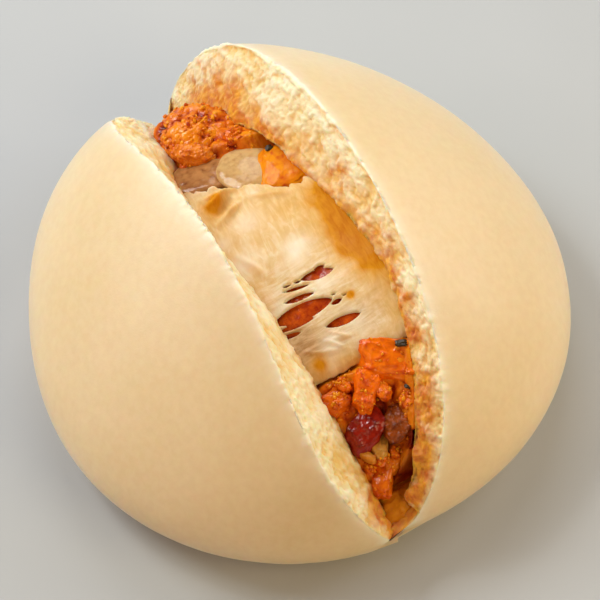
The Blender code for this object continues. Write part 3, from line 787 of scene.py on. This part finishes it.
CHUNKS = (
    # name, node, turn in degrees, squareness, dent, seed, tilt, grain; place and size in mm
    ("diced_tomato", "tomato_1", -28, 0.42, 0.28, 301, (0.25, 0.35), 0.28,
     (4.7, -30, 27.6), (11, 6.6, 5)),
    ("tomato_corner", "tomato_1", 48, 0.55, 0.3, 311, (0.3, 0.3), 0.28,
     (-1.4, -32.4, 25.4), (6.2, 4.4, 3.8)),
    ("cooked_tomato", "tomato_2", 20, 0.7, 0.3, 302, (0.3, 0.2), 0.2,
     (-3.7, -37, 20.8), (7.4, 5.6, 4)),
    ("tomato_bit", "tomato_3", 20, 0.7, 0.3, 303, (0, 0), 0.25,
     (-6.3, -31.2, 23.8), (4.6, 4.2, 3.2)),
    ("onion_bit", "onion_1", 66, 0.6, 0.3, 304, (0, 0), 0.12,
     (-1.7, -38.4, 18.9), (6.8, 3.2, 2.6)),
    ("onion_slice", "onion_2", -25, 0.95, 0.12, 306, (0.15, -0.25), 0,
     (-1.6, 18.2, 29.5), (10.6, 11, 2.6)),
    ("onion_leaf", "onion_2", -20, 0.6, 0.3, 316, (0.35, -0.2), 0.02,
     (-8.6, 20.8, 27.2), (13, 7.4, 2.2)),
    ("carrot_sliver", "carrot_1", 15, 0.7, 0.25, 305, (0, 0), 0.2),
    ("pepper_flake", "pepper_1", -18, 0.55, 0.22, 307, (0.35, -0.1), 0.02,
     (4.3, 13.8, 31.9), (9.4, 10, 2.4)),
    ("meat_lump_far", "meat_lump_1", -25, 0.8, 0.3, 308, (0, 0), 0.45,
     (-8, 26, 27.4), (8, 4.4, 4.2)),
    ("meat_lump_near", "meat_lump_2", 70, 0.9, 0.3, 309, (0.2, 0.2), 0.45,
     (2, -39, 22.2), (6, 5.6, 3.6)),
    ("tomato_wedge", "carrot_1", 62, 0.5, 0.25, 312, (0.3, 0.1), 0.22,
     (-3.2, -43.4, 14.8), (7.4, 3.8, 3.6)),
    ("pale_sliver", "onion_1", -62, 0.6, 0.15, 313, (0, 0), 0.08,
     (-5.4, -39.6, 18.6), (6, 1.7, 1.8)),
    ("soaked_crumb", "dough", 0, 0.9, 0.2, 330, (0.25, 0.05), 0.3,
     (-1.4, -46.6, 10), (12.5, 8.6, 5.6)),
)
BITS = (
    # place and size in mm
    ((5.8, -40, 23.6), (3.6, 3, 2.4)), ((-2.6, -41.4, 17.6), (3.2, 2.4, 2.2)),
    ((7.4, -33.6, 28.4), (3.2, 3.4, 2.4)), ((-4.4, -29.6, 25.6), (3, 2.2, 1.8)),
    ((-9.8, 25.6, 25.8), (3, 2.6, 2.2)), ((-0.6, 25.4, 29.8), (3.8, 3.2, 2.6)),
    ((4.6, -37, 25.4), (2.6, 3, 2)), ((-4.6, -41.6, 16.6), (2.6, 2, 1.8)),
    ((1.4, -33.8, 26), (3.4, 2.6, 2.2)), ((0.4, -41.6, 18), (2.4, 2.2, 1.8)),
)
pieces = {row[0]: chunk(*row) for row in CHUNKS}
bits = [chunk("orange_bit_" + str(k), "carrot_1", 34 * k, 0.7, 0.35, 320 + k, (0, 0), 0.2,
              spot, size) for k, (spot, size) in enumerate(BITS)]
far_join = chunk("torn_web_far", "dough", 0, 0.9, 0.12, 331, (0, 0), 0.04,
                 (-2.6, 41.6, 5), (18, 12, 11.5))
HERBS = (
    # place and size in mm, and turn
    ((6, -35.6, 27.3), (2.4, 1.2, 0.6), -10), ((0.8, -39.6, 18.6), (1.7, 0.8, 0.6), -30),
    ((3.4, 18.8, 32.3), (1.7, 1.1, 0.35), 10), ((-4, 13, 31.6), (0.6, 0.45, 0.4), 40),
    ((6.9, -29.3, 31.3), (2.2, 1.3, 0.7), -25), ((-3.4, 10.4, 31.9), (0.4, 0.4, 0.3), 0),
)
herbs = [chunk("herb_fleck_" + str(k), "meat_lump_2", turn, 0.7, 0.4, 340 + k, (0, 0), 0.1,
               spot, size, rows=20, columns=28) for k, (spot, size, turn) in enumerate(HERBS)]

# %% [markdown]
# At the far end the mince is heaped up and spills towards the open end.  A heap has
# overhangs that a height over a grid can't have, so it is a ball instead: its radius
# follows an ellipsoid with a few lobes, and the granules push it in and out.

# %% Heap of mince


def mound(name, centre, radii, lobes, seed, rows=190, columns=300):
    """Ball of mince: an ellipsoid, longer towards each lobe by a bell of the angle to it,
    with lumps, granules and specks pushed along the radius."""
    way = ball_grid(rows, columns)[2]
    reach = np.ones(way.shape[:2])
    for x, y, z, gain, width in lobes:
        lobe = np.array([x, y, z]) / np.linalg.norm([x, y, z])
        reach += gain * np.exp(-(1 - way @ lobe) / width)
    points = np.array(centre) * MM + way * reach[..., None] * np.array(radii) * MM
    warp = swirl(points, 2.0, (seed + 1, seed + 2, seed + 3), 0.7)
    mince = bumpy(points + warp, ((4.4, 1.3, seed), (1.8, 0.7, seed + 10), (0.85, 0.22, seed + 20)))
    points = points + way * (mince * MM)[..., None]
    # the heap's marks: relief for painted light and shade by height, and painted shade in its deep
    # places
    return build(name, points, grid_faces(rows, columns, around=True),
                 {"relief": np.clip(0.5 + mince * 0.4, 0, 1),
                  "painted_shade": np.clip(blots(points, PAINTED_SHADE_SPOTS), 0, 1)})


heap = mound("mince_heap", (-5.4, 31.8, 24.2), (7.0, 6.8, 5.4),
             ((-0.7, 0.9, -0.15, 0.20, 0.15), (0.9, -0.6, 0.2, 0.40, 0.2)), 401)
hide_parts("meat_sauce")

# %% [markdown]
# Loose granules sit on the sauce, the heap and the cut pieces near the viewer, and catch the
# light one by one.  Geometry nodes could strew them; here one small ball of a few dozen
# faces is repeated at random points, each copy dented, sized and turned on its own, because
# numpy can weigh the points.  All copies of a kind are one mesh.

# %% Loose granules
BALL_ROWS, BALL_COLUMNS = 6, 8


def random_turns(count, draw):
    """Random rotation matrices, from the Q part of random square matrices."""
    q, r = np.linalg.qr(draw.normal(size=(count, 3, 3)))
    return q * np.sign(np.linalg.det(q))[:, None, None]


def scatter(name, places, sizes, stretch, draw, dent=0.25):
    """Copies of the small ball at the places, as one mesh: each is stretched, dented by its
    own random numbers, turned at random and set down at its place."""
    ball = ball_grid(BALL_ROWS, BALL_COLUMNS)[2].reshape(-1, 3)
    faces = grid_faces(BALL_ROWS, BALL_COLUMNS, around=True)
    count = len(places)
    forms = ball[None] * (1 + dent * draw.normal(size=(count, len(ball), 1)).clip(-1.5, 1.5))
    for pole in (slice(None, BALL_COLUMNS), slice(-BALL_COLUMNS, None)):
        forms[:, pole] = forms[:, pole].mean(axis=1, keepdims=True)
    forms = forms * (np.array(stretch) * sizes[:, None])[:, None, :] * MM
    forms = np.einsum("nij,nkj->nki", random_turns(count, draw), forms) + places[:, None, :]
    all_faces = faces[None] + np.arange(count)[:, None, None] * len(ball)
    tone = np.repeat(draw.uniform(size=count), len(ball))
    return build(name, forms, all_faces.reshape(-1, 4), {"relief": tone * 0.5 + 0.4},
                 merge=MERGE / 8)


def pick(points, weights, count, draw):
    """Random grid points, chosen more often where the weight is larger."""
    share = np.maximum(weights, 0).ravel()
    return points.reshape(-1, 3)[draw.choice(share.size, count, p=share / share.sum())]


draw = np.random.default_rng(7)
top_points = sauce_shape[:, :TOP_COLUMNS] - ORIGIN
y_of = top_points[..., 1] / MM
u_grid = np.linspace(-1, 1, TOP_COLUMNS)[None, :] + 0 * y_of
weights = (1 - covered) * (np.abs(u_grid) < 0.93) * ((y_of > -43) & (y_of < 26))
LOOSE, LOOSE_ON_HEAP, FLAKY = 260, 160, (1.0, 0.8, 0.6)   # counts, and the granules' stretch
near_pieces = [pieces[name] for name in ("diced_tomato", "tomato_corner", "tomato_bit",
                                         "tomato_wedge", "carrot_sliver")] + bits
piece_points = np.array([v.co[:] for piece in near_pieces for v in piece.data.vertices
                         if v.normal[2] > 0.2])
places = np.concatenate([pick(top_points, weights, LOOSE, draw),
                         pick(piece_points, np.ones(len(piece_points)), LOOSE, draw)])
places = places + draw.normal(size=places.shape) * 0.12 * MM
loose = scatter("loose_mince", places, draw.uniform(0.16, 0.46, 2 * LOOSE), FLAKY, draw)
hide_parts("meat_sauce")
heap_points = np.array([v.co[:] for v in heap.data.vertices])
up_facing = (heap_points[:, 2] > 21.5 * MM).astype(float)
places = pick(heap_points, up_facing, LOOSE_ON_HEAP, draw)
places = places + draw.normal(size=places.shape) * 0.15 * MM
sizes = draw.uniform(0.25, 0.6, LOOSE_ON_HEAP)
heap_loose = scatter("loose_mince_on_heap", places, sizes, FLAKY, draw)
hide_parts("meat_sauce")

# %% [markdown]
# ## Finishes
# Each finish is a small tree of shader nodes.  Colour, and the light and shade painted on
# bumps and hollows, comes from noise on the object's own coordinates and from the numbers
# the meshes carry, so it sits on the right bumps from every side.  Food lets light in, so
# every shader scatters some of it below the surface.

# %% Finish helpers


class Finish:
    """A material with a Principled shader, and short ways to add nodes to it."""

    def __init__(self, name, roughness, coat=0.0, scatter=0.0, depth=(1.0, 0.4, 0.15), reach=2.0,
                 sheen=0.0, specular=0.5, gloss=0.06):
        self.material = bpy.data.materials.new(name)
        self.material.use_nodes = True
        self.tree = self.material.node_tree
        self.shader = self.tree.nodes["Principled BSDF"]
        values = {"Roughness": roughness, "Coat Weight": coat, "Coat Roughness": gloss,
                  "Subsurface Weight": scatter, "Subsurface Scale": reach * MM,
                  "Subsurface Radius": depth, "IOR": 1.42, "Sheen Weight": sheen,
                  "Sheen Roughness": 0.4, "Specular IOR Level": specular}
        for key, value in values.items():
            self.shader.inputs[key].default_value = value
        self.place = self.node("TexCoord").outputs["Object"]

    def node(self, kind):
        """A new node of the tree, by the last part of its type's name."""
        return self.tree.nodes.new("ShaderNode" + kind)

    def link(self, value, socket):
        """Feeds a socket: a plain number or colour is set, another socket is linked."""
        if isinstance(value, (int, float, tuple)):
            socket.default_value = value
        else:
            self.tree.links.new(value, socket)

    def noise(self, size, detail=3.0, roughness=0.55, distortion=0.0, squash=None):
        """Noise from 0 to 1 with features about size mm across, longer along an axis whose
        squash is small."""
        node = self.node("TexNoise")
        place = self.place
        if squash:
            mapping = self.node("Mapping")
            mapping.inputs["Scale"].default_value = [1.0 / max(squash) * part for part in squash]
            mapping.inputs["Rotation"].default_value = (0, 0, radians(20))
            self.tree.links.new(place, mapping.inputs["Vector"])
            place = mapping.outputs["Vector"]
        self.tree.links.new(place, node.inputs["Vector"])
        for key, value in (("Scale", 1 / (size * MM)), ("Detail", detail),
                           ("Roughness", roughness), ("Distortion", distortion)):
            node.inputs[key].default_value = value
        return node.outputs["Fac"]

    def mark(self, name):
        """One of the numbers that the mesh carries for each point."""
        node = self.node("Attribute")
        node.attribute_name = name
        return node.outputs["Fac"]

    def ramp(self, value, *stops):
        """Colours along a scale: each stop is a position and a colour."""
        node = self.node("ValToRGB")
        elements = node.color_ramp.elements
        while len(elements) < len(stops):
            elements.new(0.5)
        for element, (position, colour) in zip(elements, stops):
            element.position = position
            element.color = (*colour, 1.0) if isinstance(colour, tuple) else (colour,) * 3 + (1.0,)
        self.link(value, node.inputs["Fac"])
        return node.outputs["Color"]

    def mix(self, share, a, b):
        """Colour a turned into colour b by a share from 0 to 1."""
        node = self.node("Mix")
        node.data_type = "RGBA"
        for value, socket in ((share, node.inputs["Factor"]), (a, node.inputs["A"]),
                              (b, node.inputs["B"])):
            self.link((*value, 1.0) if isinstance(value, tuple) else value, socket)
        return node.outputs["Result"]

    def sums(self, operation, a, b):
        """Two values added or multiplied."""
        node = self.node("Math")
        node.operation = operation
        for value, socket in zip((a, b), node.inputs):
            self.link(value, socket)
        return node.outputs[0]

    def bump(self, height, strength, distance):
        """Fine relief for the shading alone; its distance is in mm."""
        node = self.node("Bump")
        node.inputs["Strength"].default_value = strength
        node.inputs["Distance"].default_value = distance * MM
        self.link(height, node.inputs["Height"])
        self.tree.links.new(node.outputs["Normal"], self.shader.inputs["Normal"])

    def paint(self, colour, roughness=None):
        """Gives the shader its colour, and its roughness where that varies."""
        self.tree.links.new(colour, self.shader.inputs["Base Color"])
        if roughness is not None:
            self.tree.links.new(roughness, self.shader.inputs["Roughness"])
        return self.material


def coat(piece, material):
    """Puts one finish on a whole piece."""
    piece.data.materials.clear()
    piece.data.materials.append(material)


# %% [markdown]
# Steamed skin is satin rather than shiny, with faint warm patches, and turns white where it
# tore.  The crumb has painted shade in its pits and painted light on its clumps, from its
# height, and it is stained orange where the sauce wetted it.  A painted picture could show
# that, but the marks on the mesh already know where each is.

# %% Finish of the dough
bun = Finish("steamed_dough", 0.45, coat=0.7, scatter=0.5, reach=2.0, sheen=0.15, gloss=0.5)
skin = bun.ramp(bun.noise(30, 2), (0.35, (0.80, 0.575, 0.29)), (0.65, (0.84, 0.62, 0.345)))
skin = bun.mix(0.10, skin, bun.ramp(bun.noise(1.6, 4), (0.35, (0.66, 0.42, 0.18)),
                                    (0.65, (0.95, 0.80, 0.54))))
skin = bun.mix(bun.sums("MULTIPLY", bun.mark("rim"), 0.8), skin, (0.94, 0.86, 0.68))
# painted shade: the crumb is darker in its pits and lighter on its clumps' tops, by height
crumb_with_pit_shade = bun.ramp(bun.mark("relief"), (0.10, (0.85, 0.55, 0.16)),
                        (0.42, (0.90, 0.68, 0.33)), (0.80, (0.95, 0.83, 0.54)))
freckles = bun.sums("MULTIPLY", bun.ramp(bun.noise(1.3, 3), (0.60, 0.0), (0.70, 1.0)),
                    bun.ramp(bun.noise(9, 2), (0.45, 0.0), (0.60, 0.7)))
crumb_with_pit_shade = bun.mix(freckles, crumb_with_pit_shade, (0.82, 0.42, 0.06))
crumb_with_pit_shade = bun.mix(bun.mark("wet"), crumb_with_pit_shade,
                       bun.ramp(bun.noise(2.0, 4), (0.35, (0.60, 0.14, 0.001)),
                                (0.65, (0.84, 0.38, 0.008))))
colour = bun.mix(bun.mark("torn"), skin, crumb_with_pit_shade)
shine = bun.ramp(bun.mark("torn"), (0.0, 0.40), (1.0, 0.72))
fuzz = bun.ramp(bun.mark("torn"), (0.0, 0.25), (1.0, 1.0))
bun.bump(bun.sums("MULTIPLY", bun.noise(0.4, 4, 0.7), fuzz), 0.5, 0.3)
coat(dough, bun.paint(colour, shine))

# %% [markdown]
# The sauce is oily tomato, painted with light and shade: bright orange on the lumps' tops,
# painted shade of deep red between them, and darker painted shade in the deepest places.
# A clear coat gives the wet glint, and the heap has more of it than the sauce under the
# cheese, so each piece gets its own copy of the finish.

# %% Finish of the meat sauce
for piece, wetness in ((sauce, 0.2), (heap, 0.6), (loose, 0.5), (heap_loose, 0.6)):
    meat = Finish(piece.name + "_finish", 0.55, wetness, 0.12, reach=0.8, specular=0.08, gloss=0.1)
    height_shade_and_tone = meat.sums("ADD", meat.sums("MULTIPLY", meat.mark("relief"), 0.75),
                      meat.sums("MULTIPLY", meat.noise(2.2, 4), 0.40))
    # painted light and shade: bright orange on the lumps' tops, deep red in the hollows between
    # them
    red = meat.ramp(height_shade_and_tone, (0.28, (0.10, 0.004, 0.002)), (0.45, (0.42, 0.032, 0.001)),
                    (0.60, (0.74, 0.16, 0.002)), (0.85, (0.93, 0.35, 0.008)))
    red = meat.mix(meat.mark("covered"), red,
                   meat.ramp(meat.noise(1.5, 3), (0.35, (0.36, 0.024, 0.001)),
                             (0.7, (0.70, 0.12, 0.002))))
    # painted shade: darker still in the deepest places
    red = meat.mix(meat.sums("MULTIPLY", meat.mark("painted_shade"), 0.7), red, (0.15, 0.010, 0.001))
    meat.bump(meat.noise(0.45, 3), 0.5, 0.3)
    coat(piece, meat.paint(red))

# %% [markdown]
# Melted cheese is cream-coloured and lets light in.  Pulling drew it into fibres, long ones
# down the sheet and finer ones across it between the holes, and oil has dyed its edge gold.
# Along the right edge that gold also darkens as painted shade under the crumb wall, the
# darker brownish patches are painted shade, and the white spots are partly pale pulled
# cheese and partly painted glints.

# %% Finish of the cheese
melt = Finish("melted_cheese", 0.5, coat=0.02, scatter=0.35, reach=1.5, specular=0.03, gloss=0.12)
pale = melt.ramp(melt.noise(5, 4), (0.30, (0.68, 0.40, 0.13)), (0.50, (0.77, 0.52, 0.24)),
                 (0.72, (0.88, 0.71, 0.48)))
DOWN, ACROSS = (1.0, 0.30, 0.5), (0.20, 1.0, 0.5)
long_fibres = melt.noise(1.3, 5, 0.6, 1.2, DOWN)
cross_fibres = melt.noise(0.8, 4, 0.6, 0.6, ACROSS)
streaky = melt.ramp(long_fibres, (0.34, (0.66, 0.37, 0.11)), (0.50, (0.78, 0.54, 0.26)),
                    (0.66, (0.92, 0.80, 0.62)))
pale = melt.mix(0.35, pale, streaky)
pulled = melt.ramp(cross_fibres, (0.34, (0.70, 0.45, 0.21)), (0.50, (0.82, 0.63, 0.40)),
                   (0.66, (0.95, 0.84, 0.70)))
pale = melt.mix(melt.sums("MULTIPLY", melt.mark("thin"), 0.75), pale, pulled)
# painted shade over the grey spots
pale = melt.mix(melt.mark("cheese_shade"), pale, melt.ramp(cross_fibres, (0.38, (0.46, 0.26, 0.11)),
                                                  (0.62, (0.66, 0.44, 0.25))))
# pale pulled cheese and painted glints over the white spots
pale = melt.mix(melt.mark("pale_and_glint"), pale, (0.94, 0.84, 0.70))
# the gold: oil colour, turning darker amber as painted shade where it is strongest
oil_gold_and_shade = melt.mark("oil_gold_and_shade")
amber_and_shade = melt.ramp(oil_gold_and_shade, (0.20, (0.80, 0.46, 0.09)), (0.55, (0.70, 0.29, 0.010)),
                  (0.95, (0.55, 0.16, 0.0)))
amber_and_shade = melt.mix(0.35, amber_and_shade, melt.ramp(long_fibres, (0.35, (0.50, 0.14, 0.0)),
                                        (0.65, (0.82, 0.42, 0.03))))
pale = melt.mix(melt.ramp(oil_gold_and_shade, (0.0, 0.0), (0.70, 1.0)), pale, amber_and_shade)
melt.bump(melt.sums("ADD", long_fibres, melt.sums("MULTIPLY", cross_fibres, melt.mark("thin"))),
          0.22, 0.3)
coat(cheese, melt.paint(pale))

# %% [markdown]
# Cooked tomato, onion, carrot and meat differ in colour but share their build: hollows carry
# painted shade and are darker than bumps, and a film of sauce makes them wet.  One table
# holds what differs.

# %% Finishes of the pieces
TONES = {
    # colour in the hollows, darkened as painted shade, colour on the bumps, wetness
    "diced_tomato": ((0.54, 0.035, 0), (0.94, 0.20, 0.001), 0.5),
    "tomato_corner": ((0.60, 0.05, 0), (0.94, 0.19, 0.001), 0.5),
    "cooked_tomato": ((0.13, 0.002, 0.001), (0.36, 0.016, 0.003), 0.7),
    "tomato_bit": ((0.46, 0.04, 0.001), (0.82, 0.17, 0.003), 0.5),
    "onion_bit": ((0.42, 0.12, 0.006), (0.68, 0.34, 0.06), 0.6),
    "soaked_crumb": ((0.46, 0.11, 0.001), (0.70, 0.26, 0.010), 0.15),
    "torn_web_far": ((0.76, 0.52, 0.23), (0.84, 0.62, 0.33), 0),
    "onion_slice": ((0.42, 0.19, 0.06), (0.64, 0.39, 0.15), 0.6),
    "onion_leaf": ((0.22, 0.06, 0.01), (0.46, 0.20, 0.06), 0.6),
    "carrot_sliver": ((0.46, 0.05, 0.002), (0.80, 0.22, 0.006), 0.5),
    "pepper_flake": ((0.60, 0.08, 0), (0.86, 0.29, 0.002), 0.2),
    "meat_lump_far": ((0.46, 0.045, 0.002), (0.84, 0.24, 0.010), 0.6),
    "meat_lump_near": ((0.08, 0.006, 0.001), (0.34, 0.065, 0.004), 0.5),
    "tomato_wedge": ((0.48, 0.035, 0), (0.84, 0.19, 0.003), 0.7),
    "pale_sliver": ((0.46, 0.12, 0.006), (0.70, 0.28, 0.03), 0.4),
    "orange_bit": ((0.44, 0.03, 0), (0.84, 0.18, 0.003), 0.5),
    "herb_fleck": ((0.012, 0.010, 0.004), (0.05, 0.03, 0.01), 0.5),
}
for piece in (*pieces.values(), far_join, *bits, *herbs):
    low_tone, high_tone, wetness = TONES[piece.name.rstrip("_0123456789")]
    look = Finish(piece.name + "_finish", 0.5, wetness, 0.15, reach=0.8, specular=0.08, gloss=0.1)
    # painted shade: the darker tone goes in the hollows, by the relief mark
    mixed = look.sums("ADD", look.sums("MULTIPLY", look.mark("relief"), 0.5),
                      look.sums("MULTIPLY", look.noise(1.8, 3), 0.6))
    look.bump(look.noise(0.6, 3), 0.35, 0.25)
    coat(piece, look.paint(look.ramp(mixed, (0.3, low_tone), (0.75, high_tone))))

# %% [markdown]
# ## Floor, light and camera
# The bun stands on a plain pale floor under soft light from above and behind, so the torn
# faces stay bright and the shadow falls towards the viewer.  Large area lamps give soft
# shadows; one small lamp adds the sharp glints on wet food, which large ones can't give.

# %% Floor
FLOOR = 0.9
floor_mesh = bpy.data.meshes.new("floor")
floor_mesh.from_pydata([(-FLOOR, -FLOOR, 0), (FLOOR, -FLOOR, 0), (FLOOR, FLOOR, 0),
                        (-FLOOR, FLOOR, 0)], [], [(0, 1, 2, 3)])
floor_piece = place_in_scene("floor", floor_mesh)
ground = Finish("floor_paper", 0.7)
coat(floor_piece, ground.paint(ground.ramp(ground.noise(60, 2), (0.3, (0.45, 0.45, 0.45)),
                                           (0.7, (0.47, 0.47, 0.47)))))

# %% Lights


def softbox(name, place, size, power, colour):
    """A square area light at place, turned towards the bun."""
    lamp = bpy.data.lights.new(name, "AREA")
    lamp.shape, lamp.size, lamp.energy, lamp.color = "SQUARE", size, power, colour
    made = place_in_scene(name, lamp)
    away = Vector(place) - Vector((0, 0, 0.02))
    made.location = place
    made.rotation_euler = away.to_track_quat("Z", "Y").to_euler()


LAMPS = (
    # name, place, size in m, power in W, colour
    ("key", (-0.34, 0.42, 0.50), 0.40, 3.9, (0.88, 0.97, 1)),
    ("back", (0.18, 0.50, 0.55), 0.45, 2.2, (0.94, 0.97, 1)),
    ("right", (0.60, 0.02, 0.36), 0.40, 2.05, (1, 1, 1)),
    ("left", (-0.60, 0.10, 0.34), 0.40, 1, (1, 0.87, 0.80)),
    ("front_left", (-0.40, -0.45, 0.40), 0.45, 0.8, (1, 0.65, 0.40)),
    ("front_right", (0.35, -0.50, 0.40), 0.45, 2.4, (1, 0.84, 0.50)),
    ("spark", (-0.24, 0.30, 0.55), 0.06, 0.30, (1, 1, 1)),
)
for lamp in LAMPS:
    softbox(*lamp)
world = bpy.data.worlds.new("studio")
world.use_nodes = True
world.node_tree.nodes["Background"].inputs["Color"].default_value = (0.95, 0.97, 1.0, 1)
world.node_tree.nodes["Background"].inputs["Strength"].default_value = 0.03
bpy.context.scene.world = world
bpy.context.scene.view_settings.view_transform = "Standard"

# %% Camera
AZIMUTH, ELEVATION, DISTANCE, LENS, SENSOR = -24.6416, 54.8432, 0.505995, 167.2, 36.0
TARGET = np.array([-0.75, -3.82, 15.88]) * MM
azimuth, elevation = radians(AZIMUTH), radians(ELEVATION)
back = np.array([sin(azimuth) * cos(elevation), -cos(azimuth) * cos(elevation), sin(elevation)])
aside = np.array([cos(azimuth), sin(azimuth), 0.0])
over = np.cross(back, aside)
spot = TARGET + back * DISTANCE
lens = bpy.data.cameras.new("camera")
lens.lens, lens.sensor_width = LENS, SENSOR
lens.clip_start, lens.clip_end = 0.01, 10.0
camera = place_in_scene("camera", lens)
camera.matrix_world = Matrix([[*row, p] for row, p in zip(np.stack([aside, over, back], 1), spot)]
                             + [[0, 0, 0, 1]])
bpy.context.scene.camera = camera
